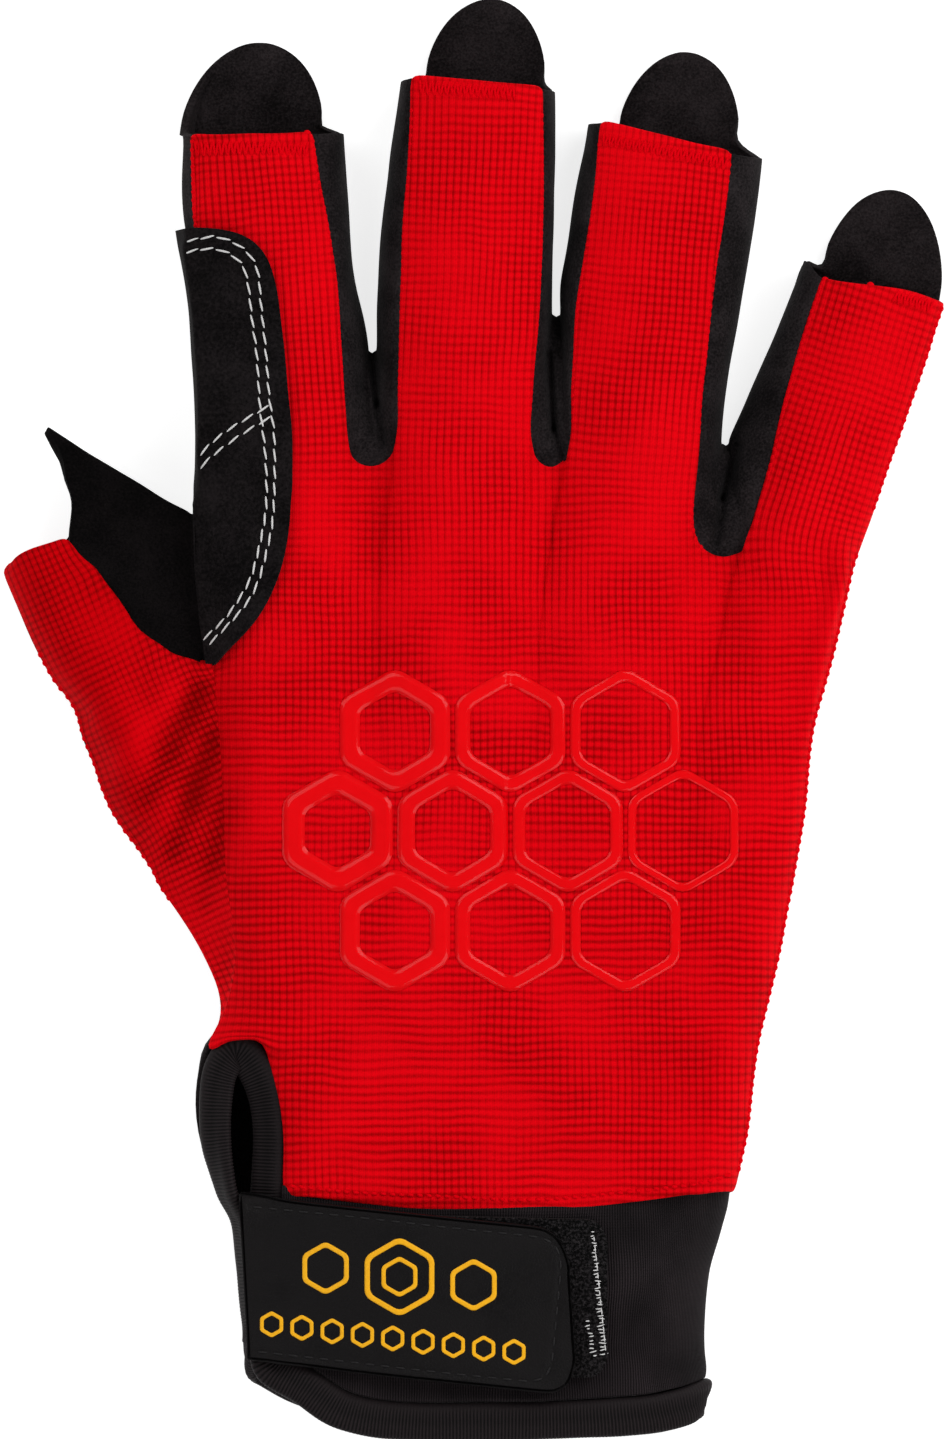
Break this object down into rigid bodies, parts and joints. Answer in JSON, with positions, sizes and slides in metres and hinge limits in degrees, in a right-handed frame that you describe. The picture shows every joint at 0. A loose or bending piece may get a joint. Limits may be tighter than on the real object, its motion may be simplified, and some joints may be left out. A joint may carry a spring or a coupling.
{
  "type": "climbing glove",
  "caption": "Right-hand climbing glove with open fingertips, a stretch-knit back, a suede palm and a wrist strap that closes over a slit.",
  "frame": {"origin": "middle of the glove's footprint, on the surface that its palm rests on", "axes": "+Y from the wrist towards the fingertips, +X towards the little finger's side, +Z out of the back of the hand"},
  "size_m": [0.1552, 0.2372, 0.0214],
  "materials": {
    "red_knit": "ribbed stretch knit",
    "suede": "thin suede",
    "rib_knit": "fine rib knit",
    "elastic_tape": "ribbed elastic",
    "strap_leather": "matt synthetic leather",
    "loop_pile": "looped pile"
  },
  "bodies": {
    "root": {"back_panel": "red_knit", "thumb_back": "red_knit", "palm_panel": "suede", "thumb_front": "suede", "index_patch": "suede", "wall_index_middle": "suede", "wall_middle_ring": "suede", "wall_ring_little": "suede", "cuff": "rib_knit", "edge_tape": "elastic_tape", "strap": "strap_leather", "loop_pad": "loop_pile"}
  },
  "joints": []
}
